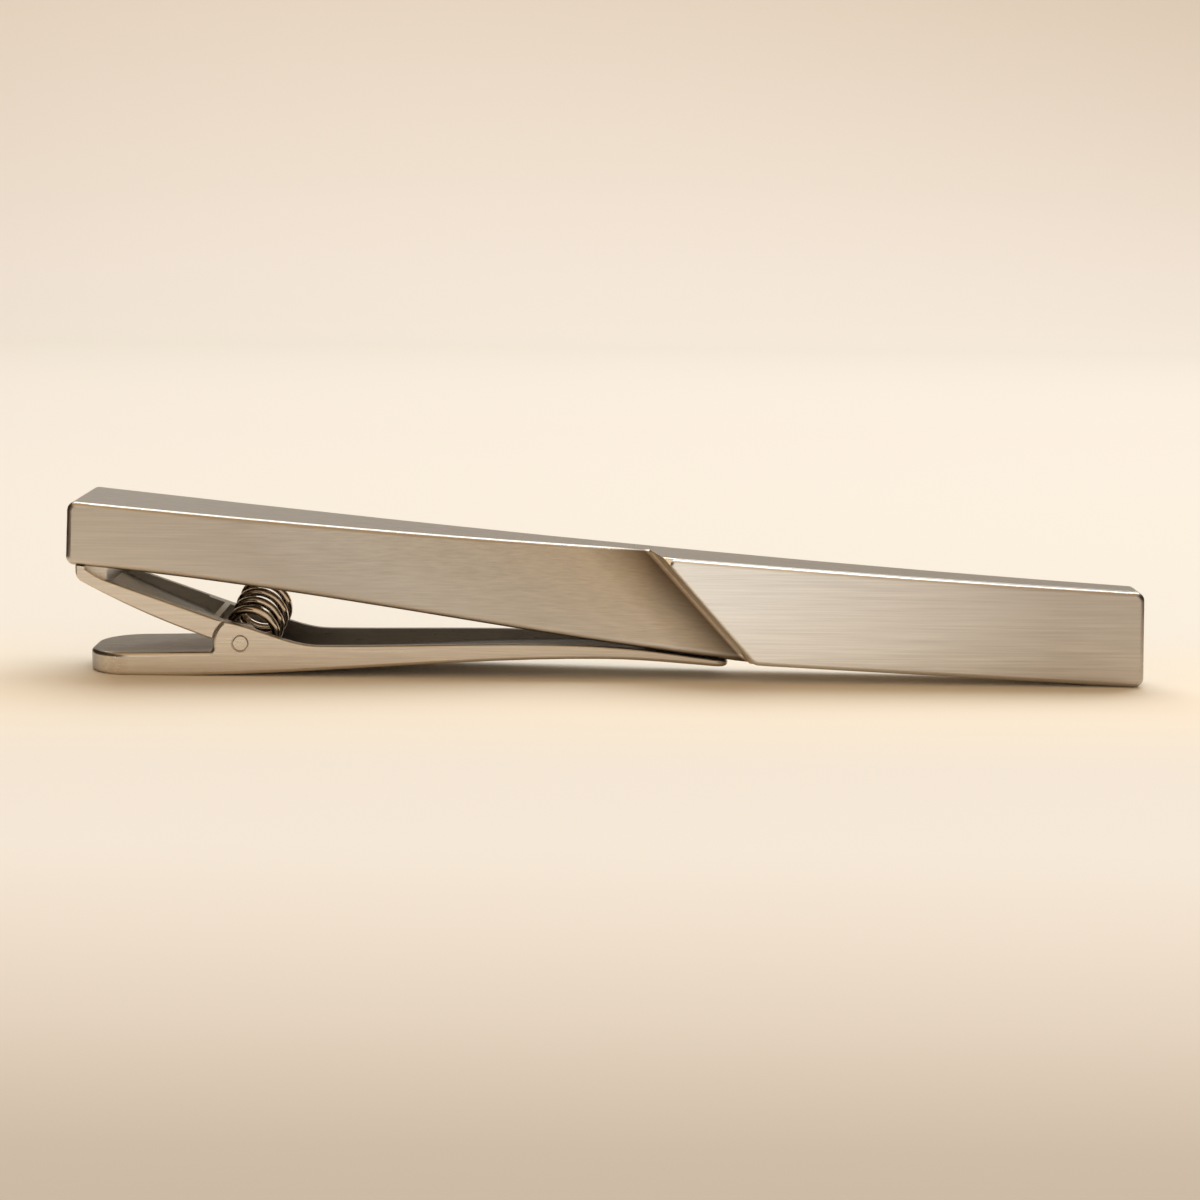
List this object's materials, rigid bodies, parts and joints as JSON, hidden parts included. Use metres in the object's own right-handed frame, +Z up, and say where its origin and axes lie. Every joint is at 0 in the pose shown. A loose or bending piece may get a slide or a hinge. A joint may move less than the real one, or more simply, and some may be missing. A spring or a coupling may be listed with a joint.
{
  "type": "tie clip",
  "caption": "Twisted bar tie clip with a flat front plate and, hinged on a bracket under it, a sprung channel lever whose jaw grips a tie against the bar.",
  "frame": {"origin": "middle of the clip in plan, on the table that it stands on", "axes": "+X along the bar from the hinge end to the plate end, -Y out of the front plate, +Z up from the table"},
  "size_m": [0.055, 0.0073, 0.0089],
  "materials": {
    "bar_metal": "satin, brushed along the bar",
    "plate_metal": "satin, brushed along the bar",
    "bracket_metal": "satin",
    "lever_metal": "satin",
    "pin_metal": "satin",
    "spring_wire": "polished"
  },
  "bodies": {
    "bar": {"bar": "bar_metal", "face_plate": "plate_metal", "hinge_bracket": "bracket_metal", "torsion_spring": "spring_wire"},
    "lever": {"lever": "lever_metal", "hinge_pin_front": "pin_metal", "hinge_pin_back": "pin_metal"}
  },
  "joints": [
    {"name": "lever_hinge", "type": "hinge", "parent": "lever", "child": "bar", "pos_m": [-0.01864, -0.00022, 0.00172], "axis": [0, -1, 0], "range_deg": [0, 18], "stiffness_Nm_per_rad": 0.05, "springref_deg": -45.84, "deforming": ["torsion_spring"]}
  ]
}
